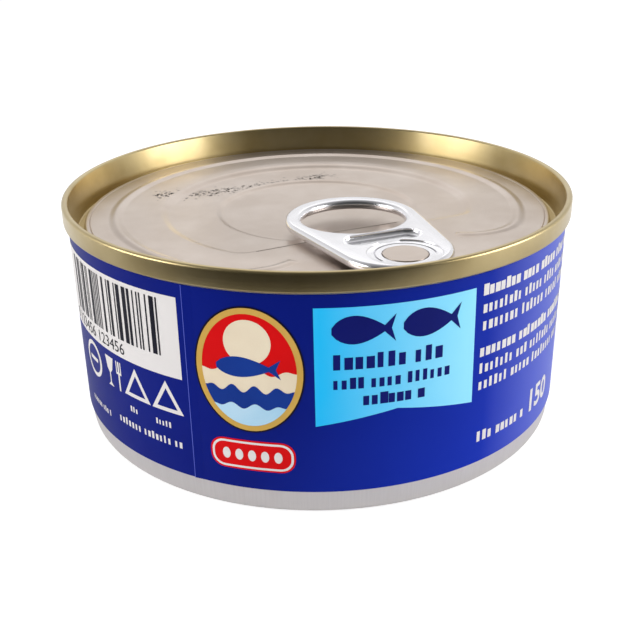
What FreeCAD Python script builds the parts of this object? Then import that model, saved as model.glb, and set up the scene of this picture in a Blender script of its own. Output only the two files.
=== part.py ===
import FreeCAD
import Part
import math
import os

# Whole can, a 307 x 109 size. Millimetres, +Z up, origin at the centre of the base.
CAN_HEIGHT = 39.7
BODY_RADIUS = 42.8
SEAM_OVERHANG = 0.85
SEAM_HEIGHT = 3.2
SEAM_THICKNESS = 1.0
SEAM_ROUNDING = 0.42

# Drawn body
BODY_WALL = 0.45
FOOT_HEIGHT = 4.2
FOOT_TAPER = 0.45
FOOT_CORNER = 1.2
STAND_WIDTH = 2.2
BASE_RISE = 1.6
BASE_SLOPE = 0.9
BASE_BEAD_RADIUS = 27.0
BASE_BEAD_WIDTH = 3.0
BASE_BEAD_DEPTH = 0.6
BASE_BEAD_ROUNDING = 0.4
BASE_ROUNDING = 0.6

# Easy-open end, from the seam inwards: chuck wall, groove, panel edge and score line
PANEL_DROP = 4.2
CHUCK_TAPER = 0.7
CHUCK_STEP_DROP = 0.5
CHUCK_STEP_WIDTH = 0.25
CHUCK_ROUNDING = 0.2
GROOVE_WIDTH = 1.2
GROOVE_DEPTH = 1.5
GROOVE_FLOOR = 1.0
GROOVE_ROUNDING = 0.25
PANEL_SHOULDER = 0.3
PANEL_ROUNDING = 0.35
SCORE_INSET = 0.8
SCORE_WIDTH = 0.22
SCORE_DEPTH = 0.15

# Pressed steps and bead in the panel, set in from the score line, their flats ahead of the rivet
PRESSED_TURN = 116.0
BEAD_INSET = 4.4
WELL_INSET = 12.4
RIVET_TO_WELL = 16.9
WELL_DEPTH = 0.5
WELL_SLOPE = 0.9
DISH_INSET = 9.3
RIVET_TO_DISH = 20.1
DISH_DEPTH = 0.3
DISH_SLOPE = 0.7
STEP_CORNER = 4.0
BEAD_TUBE = 1.2
BEAD_RISE = 0.25
BEAD_TO_TAB = 19.35
BEAD_END_RADIUS = 9.6
BEAD_END_SWEEP = 85.0

# Ring pull and its rivet
NOSE_TO_SCORE = 0.4
RIVET_BEARING = -67.4
TAB_TURN = 111.6
TAB_GAP = 0.5
TAB_THICKNESS = 1.7
TAB_ROUNDING = 0.72
TAB_RING_CENTRE = 19.0
TAB_RING_RADIUS = 11.15
TAB_NOSE_CENTRE = 3.4
TAB_NOSE_RADIUS = 8.9
HOLE_CENTRE = 19.0
HOLE_HALF_LENGTH = 8.2
HOLE_HALF_WIDTH = 8.6
HOLE_ROUNDING = 0.7
DIP_CENTRE = 7.4
DIP_HALF_LENGTH = 6.0
DIP_HALF_WIDTH = 2.0
DIP_DEPTH = 0.45
DIP_ROUNDING = 0.36
RIVET_RADIUS = 2.4
RIVET_HEAD_RADIUS = 3.4
RIVET_HEAD_HEIGHT = 0.3
RIVET_HEAD_ROUNDING = 0.2
RIVET_CLEARANCE = 0.05
POCKET_RADIUS = 4.9
WEB_THICKNESS = 0.5
BOSS_RADIUS = 3.8
BOSS_HEIGHT = 1.3
BOSS_ROUNDING = 0.2
SLIT_RADIUS = 4.4
SLIT_WIDTH = 0.3
SLIT_DEPTH = 0.25
SLIT_SWEEP = 220.0

# Paper label
PAPER = 0.12
LABEL_TOP_GAP = 0.3
LAP_EDGE_BEARING = -116.6
LAP_SWEEP = 7.0

SEAM_RADIUS = BODY_RADIUS + SEAM_OVERHANG
SEAM_FOOT = CAN_HEIGHT - SEAM_HEIGHT
SKIRT_RADIUS = BODY_RADIUS - BODY_WALL
CREST_INNER = SEAM_RADIUS - SEAM_THICKNESS
CHUCK_STEP_RADIUS = CREST_INNER - CHUCK_TAPER
GROOVE_OUTER = CHUCK_STEP_RADIUS - CHUCK_STEP_WIDTH
GROOVE_INNER = GROOVE_OUTER - GROOVE_WIDTH
PANEL_RADIUS = GROOVE_INNER - PANEL_SHOULDER
SCORE_RADIUS = PANEL_RADIUS - SCORE_INSET
BEAD_RADIUS = SCORE_RADIUS - BEAD_INSET
BEAD_HALF_GAP = math.degrees((TAB_RING_RADIUS + BEAD_TO_TAB) / BEAD_RADIUS)
WELL_RADIUS = SCORE_RADIUS - WELL_INSET
DISH_RADIUS = WELL_RADIUS - DISH_INSET
PANEL_TOP = CAN_HEIGHT - PANEL_DROP
GROOVE_Z = PANEL_TOP - GROOVE_DEPTH
LID_UNDERSIDE = GROOVE_Z - GROOVE_FLOOR
RIVET_OFFSET = SCORE_RADIUS - NOSE_TO_SCORE - (TAB_NOSE_RADIUS - TAB_NOSE_CENTRE)
WELL_FLAT = RIVET_OFFSET - RIVET_TO_WELL
DISH_FLAT = RIVET_OFFSET - RIVET_TO_DISH
TAB_BOTTOM = PANEL_TOP + TAB_GAP
WEB_BOTTOM = PANEL_TOP + BOSS_HEIGHT
WEB_TOP = WEB_BOTTOM + WEB_THICKNESS
TAB_TOP = TAB_BOTTOM + TAB_THICKNESS
CUT = 1.0

Z_AXIS = FreeCAD.Vector(0, 0, 1)
ORIGIN = FreeCAD.Vector(0, 0, 0)


def polar(radius, bearing, z=0.0):
    angle = math.radians(bearing)
    return FreeCAD.Vector(radius * math.cos(angle), radius * math.sin(angle), z)


def rounded_wire(corners):
    """Closed wire in the XZ plane; each corner is (x, z, rounding)."""
    points = [FreeCAD.Vector(x, 0, z) for x, z, _ in corners]
    edges = []
    starts, ends, mids = [], [], []
    for index, corner in enumerate(points):
        before = (points[index - 1] - corner).normalize()
        after = (points[(index + 1) % len(points)] - corner).normalize()
        rounding = corners[index][2]
        half = before.getAngle(after) / 2
        setback = rounding / math.tan(half) if rounding else 0.0
        starts.append(corner + before * setback)
        ends.append(corner + after * setback)
        inward = (before + after).normalize() if rounding else before
        mids.append(corner + inward * (rounding / math.sin(half) - rounding))
    for index in range(len(points)):
        if corners[index][2]:
            edges.append(Part.Arc(starts[index], mids[index], ends[index]).toShape())
        following = (index + 1) % len(points)
        if ends[index].distanceToPoint(starts[following]) > 1e-6:
            edges.append(Part.makeLine(ends[index], starts[following]))
    return Part.Wire(edges)


def revolved(corners):
    return Part.Face(rounded_wire(corners)).revolve(ORIGIN, Z_AXIS, 360)


def flat_sided_wire(radius, flat, corner, z):
    """Circle cut off by a straight side at -X, its two corners rounded."""
    side = math.sqrt((radius - corner) ** 2 - (flat - corner) ** 2)
    centre_x = corner - flat
    lean = math.degrees(math.atan2(side, centre_x))
    middle = (lean + 180.0) / 2
    edges = [
        Part.Arc(polar(radius, -lean, z), polar(radius, 0, z), polar(radius, lean, z)).toShape()
    ]
    for sign in (1, -1):
        centre = FreeCAD.Vector(centre_x, sign * side, z)
        edges.append(Part.Arc(centre + polar(corner, sign * lean), centre + polar(corner, sign * middle),
                              centre + polar(corner, 180)).toShape())
    edges.append(Part.makeLine(FreeCAD.Vector(-flat, side, z), FreeCAD.Vector(-flat, -side, z)))
    return Part.Wire(Part.__sortEdges__(edges))


def pressed_step(radius, flat, top, depth, slope):
    """Sunk step with a straight side and an even sloping wall."""
    grow = slope * CUT / depth
    upper = flat_sided_wire(radius + grow, flat + grow, STEP_CORNER + grow, top + CUT)
    lower = flat_sided_wire(radius - slope, flat - slope, STEP_CORNER - slope, top - depth)
    return Part.makeLoft([upper, lower], True, True)


def bead_sweep(centre, radius, start, sweep):
    section = Part.Face(Part.Wire(Part.makeCircle(
        BEAD_TUBE, FreeCAD.Vector(radius, 0, 0), FreeCAD.Vector(0, 1, 0))))
    ring = section.revolve(ORIGIN, Z_AXIS, sweep)
    ring.rotate(ORIGIN, Z_AXIS, start)
    ring.translate(centre)
    return ring


def panel_bead():
    """Raised bead round the panel, its two ends turned in beside the ring pull."""
    z = PANEL_TOP + BEAD_RISE - BEAD_TUBE
    first = RIVET_BEARING + BEAD_HALF_GAP
    last = RIVET_BEARING - BEAD_HALF_GAP + 360.0
    shapes = [bead_sweep(FreeCAD.Vector(0, 0, z), BEAD_RADIUS, first, last - first)]
    for bearing, start in ((first, first - BEAD_END_SWEEP), (last, last)):
        centre = polar(BEAD_RADIUS - BEAD_END_RADIUS, bearing, z)
        shapes.append(bead_sweep(centre, BEAD_END_RADIUS, start, BEAD_END_SWEEP))
    return shapes


def place_on_rivet(shape):
    shape.rotate(ORIGIN, Z_AXIS, TAB_TURN)
    shape.translate(polar(RIVET_OFFSET, RIVET_BEARING))
    return shape


def make_body():
    foot_radius = BODY_RADIUS - FOOT_TAPER
    stand_inner = foot_radius - FOOT_CORNER - STAND_WIDTH
    panel_edge = stand_inner - BASE_SLOPE
    bead_in = BASE_BEAD_RADIUS - BASE_BEAD_WIDTH / 2
    bead_out = BASE_BEAD_RADIUS + BASE_BEAD_WIDTH / 2
    bead_z = BASE_RISE - BASE_BEAD_DEPTH
    return revolved([
        (0, BASE_RISE, 0),
        (bead_in - BASE_BEAD_DEPTH, BASE_RISE, BASE_BEAD_ROUNDING),
        (bead_in, bead_z, BASE_BEAD_ROUNDING),
        (bead_out, bead_z, BASE_BEAD_ROUNDING),
        (bead_out + BASE_BEAD_DEPTH, BASE_RISE, BASE_BEAD_ROUNDING),
        (panel_edge, BASE_RISE, BASE_ROUNDING),
        (stand_inner, 0, BASE_ROUNDING),
        (foot_radius, 0, FOOT_CORNER),
        (BODY_RADIUS, FOOT_HEIGHT, 0),
        (BODY_RADIUS, SEAM_FOOT, 0),
        (SKIRT_RADIUS, SEAM_FOOT, 0),
        (SKIRT_RADIUS, LID_UNDERSIDE, 0),
        (0, LID_UNDERSIDE, 0),
    ])


def make_rivet():
    head_top = WEB_TOP + RIVET_HEAD_HEIGHT
    profile = [
        (0, LID_UNDERSIDE, 0),
        (BOSS_RADIUS, LID_UNDERSIDE, 0),
        (BOSS_RADIUS, WEB_BOTTOM, BOSS_ROUNDING),
        (RIVET_RADIUS, WEB_BOTTOM, 0),
        (RIVET_RADIUS, WEB_TOP, 0),
        (RIVET_HEAD_RADIUS, WEB_TOP, 0),
        (RIVET_HEAD_RADIUS, head_top, RIVET_HEAD_ROUNDING),
        (0, head_top, 0),
    ]
    return place_on_rivet(revolved(profile))


def make_lid():
    half_score = SCORE_WIDTH / 2
    lid = revolved([
        (0, LID_UNDERSIDE, 0),
        (SKIRT_RADIUS, LID_UNDERSIDE, 0),
        (SKIRT_RADIUS, SEAM_FOOT, 0),
        (SEAM_RADIUS, SEAM_FOOT, SEAM_ROUNDING),
        (SEAM_RADIUS, CAN_HEIGHT, SEAM_ROUNDING),
        (CREST_INNER, CAN_HEIGHT, SEAM_ROUNDING),
        (CHUCK_STEP_RADIUS, PANEL_TOP - CHUCK_STEP_DROP, CHUCK_ROUNDING),
        (GROOVE_OUTER, GROOVE_Z, GROOVE_ROUNDING),
        (GROOVE_INNER, GROOVE_Z, GROOVE_ROUNDING),
        (PANEL_RADIUS, PANEL_TOP, PANEL_ROUNDING),
        (SCORE_RADIUS + half_score, PANEL_TOP, 0),
        (SCORE_RADIUS, PANEL_TOP - SCORE_DEPTH, 0),
        (SCORE_RADIUS - half_score, PANEL_TOP, 0),
        (0, PANEL_TOP, 0),
    ])
    lid = lid.fuse(panel_bead())
    well = pressed_step(WELL_RADIUS, WELL_FLAT, PANEL_TOP, WELL_DEPTH, WELL_SLOPE)
    dish = pressed_step(DISH_RADIUS, DISH_FLAT, PANEL_TOP - WELL_DEPTH, DISH_DEPTH, DISH_SLOPE)
    for step in (well, dish):
        step.rotate(ORIGIN, Z_AXIS, PRESSED_TURN)
        lid = lid.cut(step)
    return lid.fuse(make_rivet()).removeSplitter()


def tab_outline(z):
    """Nose and ring rounds joined by their two outer tangents."""
    span = TAB_RING_CENTRE - TAB_NOSE_CENTRE
    lean = 90.0 + math.degrees(math.asin((TAB_RING_RADIUS - TAB_NOSE_RADIUS) / span))
    nose = FreeCAD.Vector(TAB_NOSE_CENTRE, 0, z)
    ring = FreeCAD.Vector(TAB_RING_CENTRE, 0, z)
    nose_left = nose + polar(TAB_NOSE_RADIUS, lean)
    nose_right = nose + polar(TAB_NOSE_RADIUS, -lean)
    ring_left = ring + polar(TAB_RING_RADIUS, lean)
    ring_right = ring + polar(TAB_RING_RADIUS, -lean)
    return Part.Wire([
        Part.Arc(nose_left, nose + polar(TAB_NOSE_RADIUS, 180), nose_right).toShape(),
        Part.makeLine(nose_right, ring_right),
        Part.Arc(ring_right, ring + polar(TAB_RING_RADIUS, 0), ring_left).toShape(),
        Part.makeLine(ring_left, nose_left),
    ])


def finger_hole():
    ellipse = Part.Ellipse(FreeCAD.Vector(HOLE_CENTRE, HOLE_HALF_WIDTH, TAB_BOTTOM),
                           FreeCAD.Vector(HOLE_CENTRE + HOLE_HALF_LENGTH, 0, TAB_BOTTOM),
                           FreeCAD.Vector(HOLE_CENTRE, 0, TAB_BOTTOM))
    return Part.Face(Part.Wire(ellipse.toShape())).extrude(Z_AXIS * TAB_THICKNESS)


def stiffening_dip():
    """Stadium-shaped dip between the finger hole and the rivet."""
    reach = DIP_HALF_LENGTH - DIP_HALF_WIDTH
    floor = TAB_TOP - DIP_DEPTH
    dip = Part.makeBox(2 * DIP_HALF_WIDTH, 2 * reach, DIP_DEPTH + CUT,
                       FreeCAD.Vector(DIP_CENTRE - DIP_HALF_WIDTH, -reach, floor))
    for side in (-reach, reach):
        dip = dip.fuse(Part.makeCylinder(DIP_HALF_WIDTH, DIP_DEPTH + CUT,
                                         FreeCAD.Vector(DIP_CENTRE, side, floor)))
    dip = dip.removeSplitter()
    rims = [edge for edge in dip.Edges if edge.BoundBox.ZMax < floor + 1e-6]
    return dip.makeFillet(DIP_ROUNDING, rims)


def rivet_slit():
    start = -SLIT_SWEEP / 2
    section = Part.makePolygon([
        FreeCAD.Vector(SLIT_RADIUS, 0, WEB_TOP + CUT),
        FreeCAD.Vector(SLIT_RADIUS, 0, WEB_TOP - SLIT_DEPTH),
        FreeCAD.Vector(SLIT_RADIUS + SLIT_WIDTH, 0, WEB_TOP - SLIT_DEPTH),
        FreeCAD.Vector(SLIT_RADIUS + SLIT_WIDTH, 0, WEB_TOP + CUT),
        FreeCAD.Vector(SLIT_RADIUS, 0, WEB_TOP + CUT),
    ])
    slit = Part.Face(section).revolve(ORIGIN, Z_AXIS, SLIT_SWEEP)
    slit.rotate(ORIGIN, Z_AXIS, start)
    return slit


def make_ring_pull():
    tab = Part.Face(tab_outline(TAB_BOTTOM)).extrude(Z_AXIS * TAB_THICKNESS)
    tab = tab.makeFillet(TAB_ROUNDING, [edge for edge in tab.Edges if edge.BoundBox.ZLength < 1e-6])
    tab = tab.cut(finger_hole())
    rims = [edge for edge in tab.Edges
            if edge.BoundBox.ZLength < 1e-6 and isinstance(edge.Curve, Part.Ellipse)]
    tab = tab.makeFillet(HOLE_ROUNDING, rims)
    tab = tab.cut(stiffening_dip())
    tab = tab.cut(Part.makeCylinder(POCKET_RADIUS, CUT, FreeCAD.Vector(0, 0, WEB_TOP)))
    tab = tab.cut(Part.makeCylinder(POCKET_RADIUS, WEB_BOTTOM - TAB_BOTTOM, FreeCAD.Vector(0, 0, TAB_BOTTOM)))
    tab = tab.cut(rivet_slit())
    tab = tab.cut(Part.makeCylinder(RIVET_RADIUS + RIVET_CLEARANCE, CUT, FreeCAD.Vector(0, 0, WEB_BOTTOM)))
    return place_on_rivet(tab)


def make_label():
    bottom = FOOT_HEIGHT
    height = SEAM_FOOT - LABEL_TOP_GAP - FOOT_HEIGHT
    base = FreeCAD.Vector(0, 0, bottom)
    outer = Part.makeCylinder(BODY_RADIUS + PAPER, height, base)
    lap = Part.makeCylinder(BODY_RADIUS + 2 * PAPER, height, base, Z_AXIS, LAP_SWEEP)
    lap.rotate(ORIGIN, Z_AXIS, LAP_EDGE_BEARING)
    inner = Part.makeCylinder(BODY_RADIUS, height, base)
    return outer.fuse(lap).cut(inner).removeSplitter()


PARTS = {
    "can_body": make_body,
    "lid": make_lid,
    "ring_pull": make_ring_pull,
    "label": make_label,
}

os.makedirs("parts", exist_ok=True)
for node, make in PARTS.items():
    shape = make()
    if len(shape.Solids) != 1 or not shape.isValid():
        raise ValueError(f"{node}: {len(shape.Solids)} solids, valid {shape.isValid()}")
    shape.Solids[0].exportStep(f"parts/{node}.step")
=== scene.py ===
import math
import random

import bmesh
import bpy
from mathutils import Matrix, Quaternion, Vector


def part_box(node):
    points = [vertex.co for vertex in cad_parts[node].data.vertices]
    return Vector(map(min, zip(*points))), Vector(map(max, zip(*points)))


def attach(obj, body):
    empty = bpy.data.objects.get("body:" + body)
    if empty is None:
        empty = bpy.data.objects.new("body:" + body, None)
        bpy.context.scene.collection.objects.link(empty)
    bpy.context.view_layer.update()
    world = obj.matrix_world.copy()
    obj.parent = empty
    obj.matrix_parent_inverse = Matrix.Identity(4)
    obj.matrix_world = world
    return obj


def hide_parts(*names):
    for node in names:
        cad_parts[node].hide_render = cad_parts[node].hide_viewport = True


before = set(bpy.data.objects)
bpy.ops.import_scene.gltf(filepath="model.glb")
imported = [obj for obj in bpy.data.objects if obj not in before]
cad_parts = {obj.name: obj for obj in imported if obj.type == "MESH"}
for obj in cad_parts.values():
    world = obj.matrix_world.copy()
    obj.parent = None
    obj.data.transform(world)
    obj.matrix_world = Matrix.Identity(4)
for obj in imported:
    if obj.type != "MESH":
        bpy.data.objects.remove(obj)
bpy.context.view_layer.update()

# Shapes are made in millimetres in the row frame and finished in metres.
MM = 0.001
FULL_TURN = 2 * math.pi
ROUND_STEPS = 256


def box_mm(node):
    """The two corners of a node's box, in millimetres."""
    low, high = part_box(node)
    return low / MM, high / MM


# Sizes that the frame gives
LID_HIGH = box_mm("lid")[1]
LABEL_LOW, LABEL_HIGH = box_mm("label")
TAB_LOW, TAB_HIGH = box_mm("ring_pull")
SEAM_RADIUS = LID_HIGH.x
CAN_TOP = LID_HIGH.z
PAPER = 0.12
LABEL_RADIUS = LABEL_HIGH.x
BODY_RADIUS = LABEL_RADIUS - PAPER
LABEL_BOTTOM = LABEL_LOW.z
LABEL_TOP = LABEL_HIGH.z

# Seam, chuck wall, groove and panel edge, from the outside in
SEAM_HEIGHT = 3.2
SEAM_WIDTH = 1.0
SEAM_ROUNDING = 0.42
BODY_WALL = 0.45
CHUCK_TAPER = 0.7
STEP_DROP = 0.5
STEP_WIDTH = 0.25
STEP_ROUNDING = 0.2
GROOVE_WIDTH = 1.2
GROOVE_DEPTH = 1.5
GROOVE_ROUNDING = 0.25
LID_FLOOR = 1.0
PANEL_DROP = 4.2
PANEL_SHOULDER = 0.3
PANEL_ROUNDING = 0.35
SCORE_INSET = 0.8
SCORE_WIDTH = 0.22
SCORE_DEPTH = 0.12
SEAM_FOOT = CAN_TOP - SEAM_HEIGHT
SKIRT_RADIUS = BODY_RADIUS - BODY_WALL
PANEL_TOP = CAN_TOP - PANEL_DROP
STEP_RADIUS = SEAM_RADIUS - SEAM_WIDTH - CHUCK_TAPER
STEP_Z = PANEL_TOP - STEP_DROP
GROOVE_OUTER = STEP_RADIUS - STEP_WIDTH
GROOVE_INNER = GROOVE_OUTER - GROOVE_WIDTH
GROOVE_Z = PANEL_TOP - GROOVE_DEPTH
PANEL_RADIUS = GROOVE_INNER - PANEL_SHOULDER
SCORE_RADIUS = PANEL_RADIUS - SCORE_INSET
LID_UNDERSIDE = GROOVE_Z - LID_FLOOR

# Ring pull, laid out from the rivet along its length
PULL_TURN = math.radians(111.6)
PULL_BOTTOM = TAB_LOW.z
PULL_TOP = TAB_HIGH.z
RING_CENTRE = 19.0
RING_RADIUS = 11.15
NOSE_CENTRE = 3.4
NOSE_RADIUS = 8.9
NOSE_TO_SCORE = 0.4
HOLE_CENTRE = 19.0
HOLE_HALF_LENGTH = 8.2
HOLE_HALF_WIDTH = 8.6
RIM_ROUNDING = 0.8
WEB_BOTTOM = PANEL_TOP + 1.3
WEB_TOP = WEB_BOTTOM + 0.5
POCKET_RADIUS = 4.9
SEAT_CENTRE = 0.2
SEAT_HALF_LENGTH = POCKET_RADIUS + 0.6
SEAT_HALF_WIDTH = POCKET_RADIUS + 0.9
SEAT_DEPTH = 0.22
SEAT_ROUNDING = 0.18
SLIT_INNER = 4.45
SLIT_OUTER = 4.7
SLIT_DEPTH = 0.8
SLIT_START = -1.4
DIP_CENTRE = 7.7
DIP_HALF_WIDTH = 2.3
DIP_END = 4.2
DIP_DEPTH = 0.85
DIP_ROUNDING = 0.8
CUT = 1.0

# Rivet
RIVET_BEARING = math.radians(-67.4)
RIVET_OFFSET = SCORE_RADIUS - NOSE_TO_SCORE - (NOSE_RADIUS - NOSE_CENTRE)
RIVET = Vector((RIVET_OFFSET * math.cos(RIVET_BEARING), RIVET_OFFSET * math.sin(RIVET_BEARING), 0))
RIVET_RADIUS = 3.4
RIVET_TOP = WEB_TOP + 0.3
RIVET_SINK = 0.2
RIVET_ROOT = 0.5
RIVET_CLEARANCE = 0.16
SHANK_RADIUS = 2.4
BOSS_RADIUS = 3.8

# Pressed shapes in the panel, their straight sides towards the rivet
PRESSED_TURN = math.radians(116.0)
PRESSED_EDGE = 30.0
PRESSED_INSET = 0.4
PRESSED_FALL = (
    (0.0, 0.0), (0.2, 0.08), (0.38, 0.3), (0.5, 0.5), (0.62, 0.7), (0.8, 0.92), (1.0, 1.0),
)
CORNER_REACH = 4.5
CORNER_EASING = 14
WELL_RADIUS = SCORE_RADIUS - 12.4
WELL_FLAT = RIVET_OFFSET - 16.9
WELL_DEPTH = 0.6
WELL_SLOPE = 2.2
DISH_RADIUS = WELL_RADIUS - 9.3
DISH_FLAT = RIVET_OFFSET - 20.1
DISH_DEPTH = 0.4
DISH_SLOPE = 1.6
# Painted shade: thin dark strips along the straight step edges of the well and the dish; their
# width and lift, then each strip's start, end and level
SHADE_LINE_WIDTH = 0.16
SHADE_LINE_LIFT = 0.012
PAINTED_SHADE_LINES = (
    ((-9.5, -23.6), (-1.0, -19.4), PANEL_TOP),
    ((-1.5, -15.2), (13.4, -8.7), PANEL_TOP - WELL_DEPTH),
)
BEAD_RADIUS = SCORE_RADIUS - 4.4
BEAD_HALF_WIDTH = 1.3
BEAD_RISE = 0.27
BEAD_FOOT = PANEL_TOP + 0.003
BEAD_SECTION_STEPS = 12
BEAD_HALF_GAP = 30.5 / BEAD_RADIUS
BEAD_END_RADIUS = 9.6
BEAD_END_SWEEP = math.radians(85)

# Ink sprayed on the panel: a sagging line of dots, kept off the slopes of the well and the dish
INK_START = (-29.5, 7.2)
INK_RUN = (33.0, 14.6)
INK_SAG = 1.2
INK_SPREAD = (0.9, 1.15)
INK_DOTS = 560
INK_GAP_LEVEL = -1.3
INK_LIFT = 0.01
DOT_SIDES = 10

# Label print: upright cuts for bending, height of one ink over the next, and the lap of the paper
PRINT_CUT = 1.5
PRINT_LAYER = 0.03
LAP_EDGE = -20.0
LAP_FADE = 1.5
LAP_SINK = 0.02
LAP_TAIL = 0.005
LAP_EDGE_LEFT = 0.08
LAP_EDGE_RIGHT = 0.03

# Strokes of the small print, as shares of their height
STROKE_PITCH = 0.66
STROKE_SPREAD = (0.8, 1.25)
STROKES_IN_WORD = (3, 8)
SHORT_STROKE = 0.8
TALL_CHANCE = 0.3
WORD_GAP = 0.6

# Foot and base of the body
FOOT_RADIUS = BODY_RADIUS - 0.45
FOOT_CORNER = 1.2
STAND_INNER = FOOT_RADIUS - FOOT_CORNER - 2.2
STAND_ROUNDING = 0.6
SHOULDER_ROUNDING = 2.0
BASE_RISE = 1.6
BASE_SLOPE = 0.9
BASE_BEAD_INNER = 25.5
BASE_BEAD_OUTER = 28.5
BASE_BEAD_DEPTH = 0.6
BASE_BEAD_ROUNDING = 0.4

# Light: brightness the shiny surfaces mirror in front, general light, and the white floor
GLOSS_FRONT = 0.07
AMBIENT = 0.5
FLOOR_WHITE = 1.56
FLOOR_SHARE = 0.5
FLOOR_REACH = 4.0
FLOOR_LEAN = 1.1
FLOOR_AHEAD = ((0.17, 0.0), (0.5, 1.0))
FLOOR_BEYOND = ((0.0, 0.0), (0.4, 0.3))
SKY_AROUND = ((0.0, GLOSS_FRONT), (0.22, GLOSS_FRONT), (0.55, 0.72), (0.72, 0.86))
SKY_UP = ((0.35, 1.0), (0.95, 0.45))
LIGHT_AIM = Vector((0, 0, 0.02))
SOFTBOXES = (
    ("left_softbox", (-0.48, -0.12, 0.17), 0.30, 1.1),
    ("right_softbox", (0.48, -0.08, 0.17), 0.30, 1.35),
    ("front_softbox", (-0.10, -0.60, 0.16), 0.45, 0.75),
    ("back_softbox", (0.0, 0.5, 0.5), 0.5, 0.4),
)

# Camera
CAMERA_PLACE = (0, -161.43, 86.01)
CAMERA_AIM = (0.00122, 0.91126, -0.41183)
CAMERA_ROLL = math.radians(-0.88)
CAMERA_LENS = 53.27


# ---------------------------------------------------------------- modelling

def deselect():
    bpy.ops.object.select_all(action="DESELECT")


def pick(piece):
    """Leaves just this piece selected and active."""
    deselect()
    piece.select_set(True)
    bpy.context.view_layer.objects.active = piece


def edit(piece):
    pick(piece)
    bpy.ops.object.mode_set(mode="EDIT")
    bpy.ops.mesh.select_mode(type="VERT")


def close_edit():
    bpy.ops.object.mode_set(mode="OBJECT")


def select(piece, kind, wanted):
    """Selects, in edit mode, just the vertices, edges or faces for which wanted says yes."""
    bpy.ops.mesh.select_all(action="DESELECT")
    bpy.ops.mesh.select_mode(type=kind)
    mesh = bmesh.from_edit_mesh(piece.data)
    for element in {"VERT": mesh.verts, "EDGE": mesh.edges, "FACE": mesh.faces}[kind]:
        if wanted(element):
            element.select_set(True)
    mesh.select_flush_mode()
    bmesh.update_edit_mesh(piece.data)


def start_plane(name):
    """A small plane to start a piece from, in edit mode with everything selected."""
    deselect()
    bpy.ops.mesh.primitive_plane_add(size=1, location=(0, 0, 0))
    piece = bpy.context.active_object
    piece.name = name
    edit(piece)
    bpy.ops.mesh.select_all(action="SELECT")
    return piece


def empty_mesh(name):
    """A piece with nothing in it yet, left in edit mode."""
    piece = start_plane(name)
    bpy.ops.mesh.delete(type="VERT")
    return piece


def trace(name, points, closed=False):
    """A chain of edges extruded through the points; left in edit mode, all selected."""
    piece = start_plane(name)
    bpy.ops.mesh.merge(type="CENTER")
    bpy.ops.transform.translate(value=points[0])
    here = Vector(points[0])
    for point in points[1:]:
        step = Vector(point) - here
        bpy.ops.mesh.extrude_region_move(TRANSFORM_OT_translate={"value": step})
        here = Vector(point)
    bpy.ops.mesh.select_all(action="SELECT")
    if closed:
        select(piece, "VERT", lambda v: len(v.link_edges) == 1)
        bpy.ops.mesh.edge_face_add()
        bpy.ops.mesh.select_all(action="SELECT")
    return piece


def rounded(corners, steps=6):
    """Points of an open outline in the XZ plane; each corner is (x, z, rounding)."""
    points = []
    for index, (x, z, rounding) in enumerate(corners):
        corner = Vector((x, 0, z))
        if not rounding:
            points.append(corner)
            continue
        before = (Vector((corners[index - 1][0], 0, corners[index - 1][1])) - corner).normalized()
        after = (Vector((corners[index + 1][0], 0, corners[index + 1][1])) - corner).normalized()
        half = before.angle(after) / 2
        centre = corner + (before + after).normalized() * rounding / math.sin(half)
        start = (corner + before * rounding / math.tan(half) - centre).normalized()
        end = (corner + after * rounding / math.tan(half) - centre).normalized()
        for step in range(steps + 1):
            points.append(centre + start.slerp(end, step / steps) * rounding)
    return points


def turned(name, corners, centre=(0, 0, 0), steps=ROUND_STEPS, arc_steps=6):
    """A round piece spun from its outline about an upright axis."""
    points = [point + Vector(centre) for point in rounded(corners, arc_steps)]
    piece = trace(name, points)
    bpy.ops.mesh.spin(steps=steps, angle=FULL_TURN, center=centre, axis=(0, 0, 1))
    tidy_mesh(piece)
    return piece


def tidy_mesh(piece):
    """Merges doubled vertices and turns every face outwards."""
    if piece.mode != "EDIT":
        edit(piece)
    bpy.ops.mesh.select_all(action="SELECT")
    bpy.ops.mesh.remove_doubles(threshold=0.0005)
    bpy.ops.mesh.normals_make_consistent(inside=False)
    close_edit()


def apply_modifier(piece, kind, **settings):
    pick(piece)
    modifier = piece.modifiers.new(kind.lower(), kind)
    for name, value in settings.items():
        setattr(modifier, name, value)
    bpy.ops.object.modifier_apply(modifier=modifier.name)


def round_edges(piece, width, segments):
    """Rounds every edge sharper than a sixth of a turn."""
    apply_modifier(piece, "BEVEL", width=width, segments=segments, limit_method="ANGLE",
                   angle_limit=math.radians(60))


def join(pieces, name):
    deselect()
    for piece in pieces:
        piece.select_set(True)
    bpy.context.view_layer.objects.active = pieces[0]
    if len(pieces) > 1:
        bpy.ops.object.join()
    pieces[0].name = name
    return pieces[0]


def cut_away(piece, cutter):
    """Takes the cutter's shape out of the piece."""
    apply_modifier(piece, "BOOLEAN", operation="DIFFERENCE", object=cutter, solver="EXACT")
    bpy.data.objects.remove(cutter)


def place_mesh(piece, turn=0.0, shift=(0, 0, 0), scale=1.0):
    """Moves the mesh, and not the object, so that every piece stays at the origin."""
    place = Matrix.Translation(shift) @ Matrix.Rotation(turn, 4, "Z") @ Matrix.Scale(scale, 4)
    piece.data.transform(place)


def finish(piece, material, smooth=35, stands_for=()):
    """Brings a piece to metres, shades it, and hangs it on the can."""
    place_mesh(piece, scale=MM)
    pick(piece)
    bpy.ops.object.shade_smooth_by_angle(angle=math.radians(smooth))
    piece.data.materials.clear()
    piece.data.materials.append(material)
    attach(piece, "root")
    if stands_for:
        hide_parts(*stands_for)
    return piece


# ---------------------------------------------------------------- shader maths

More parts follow.
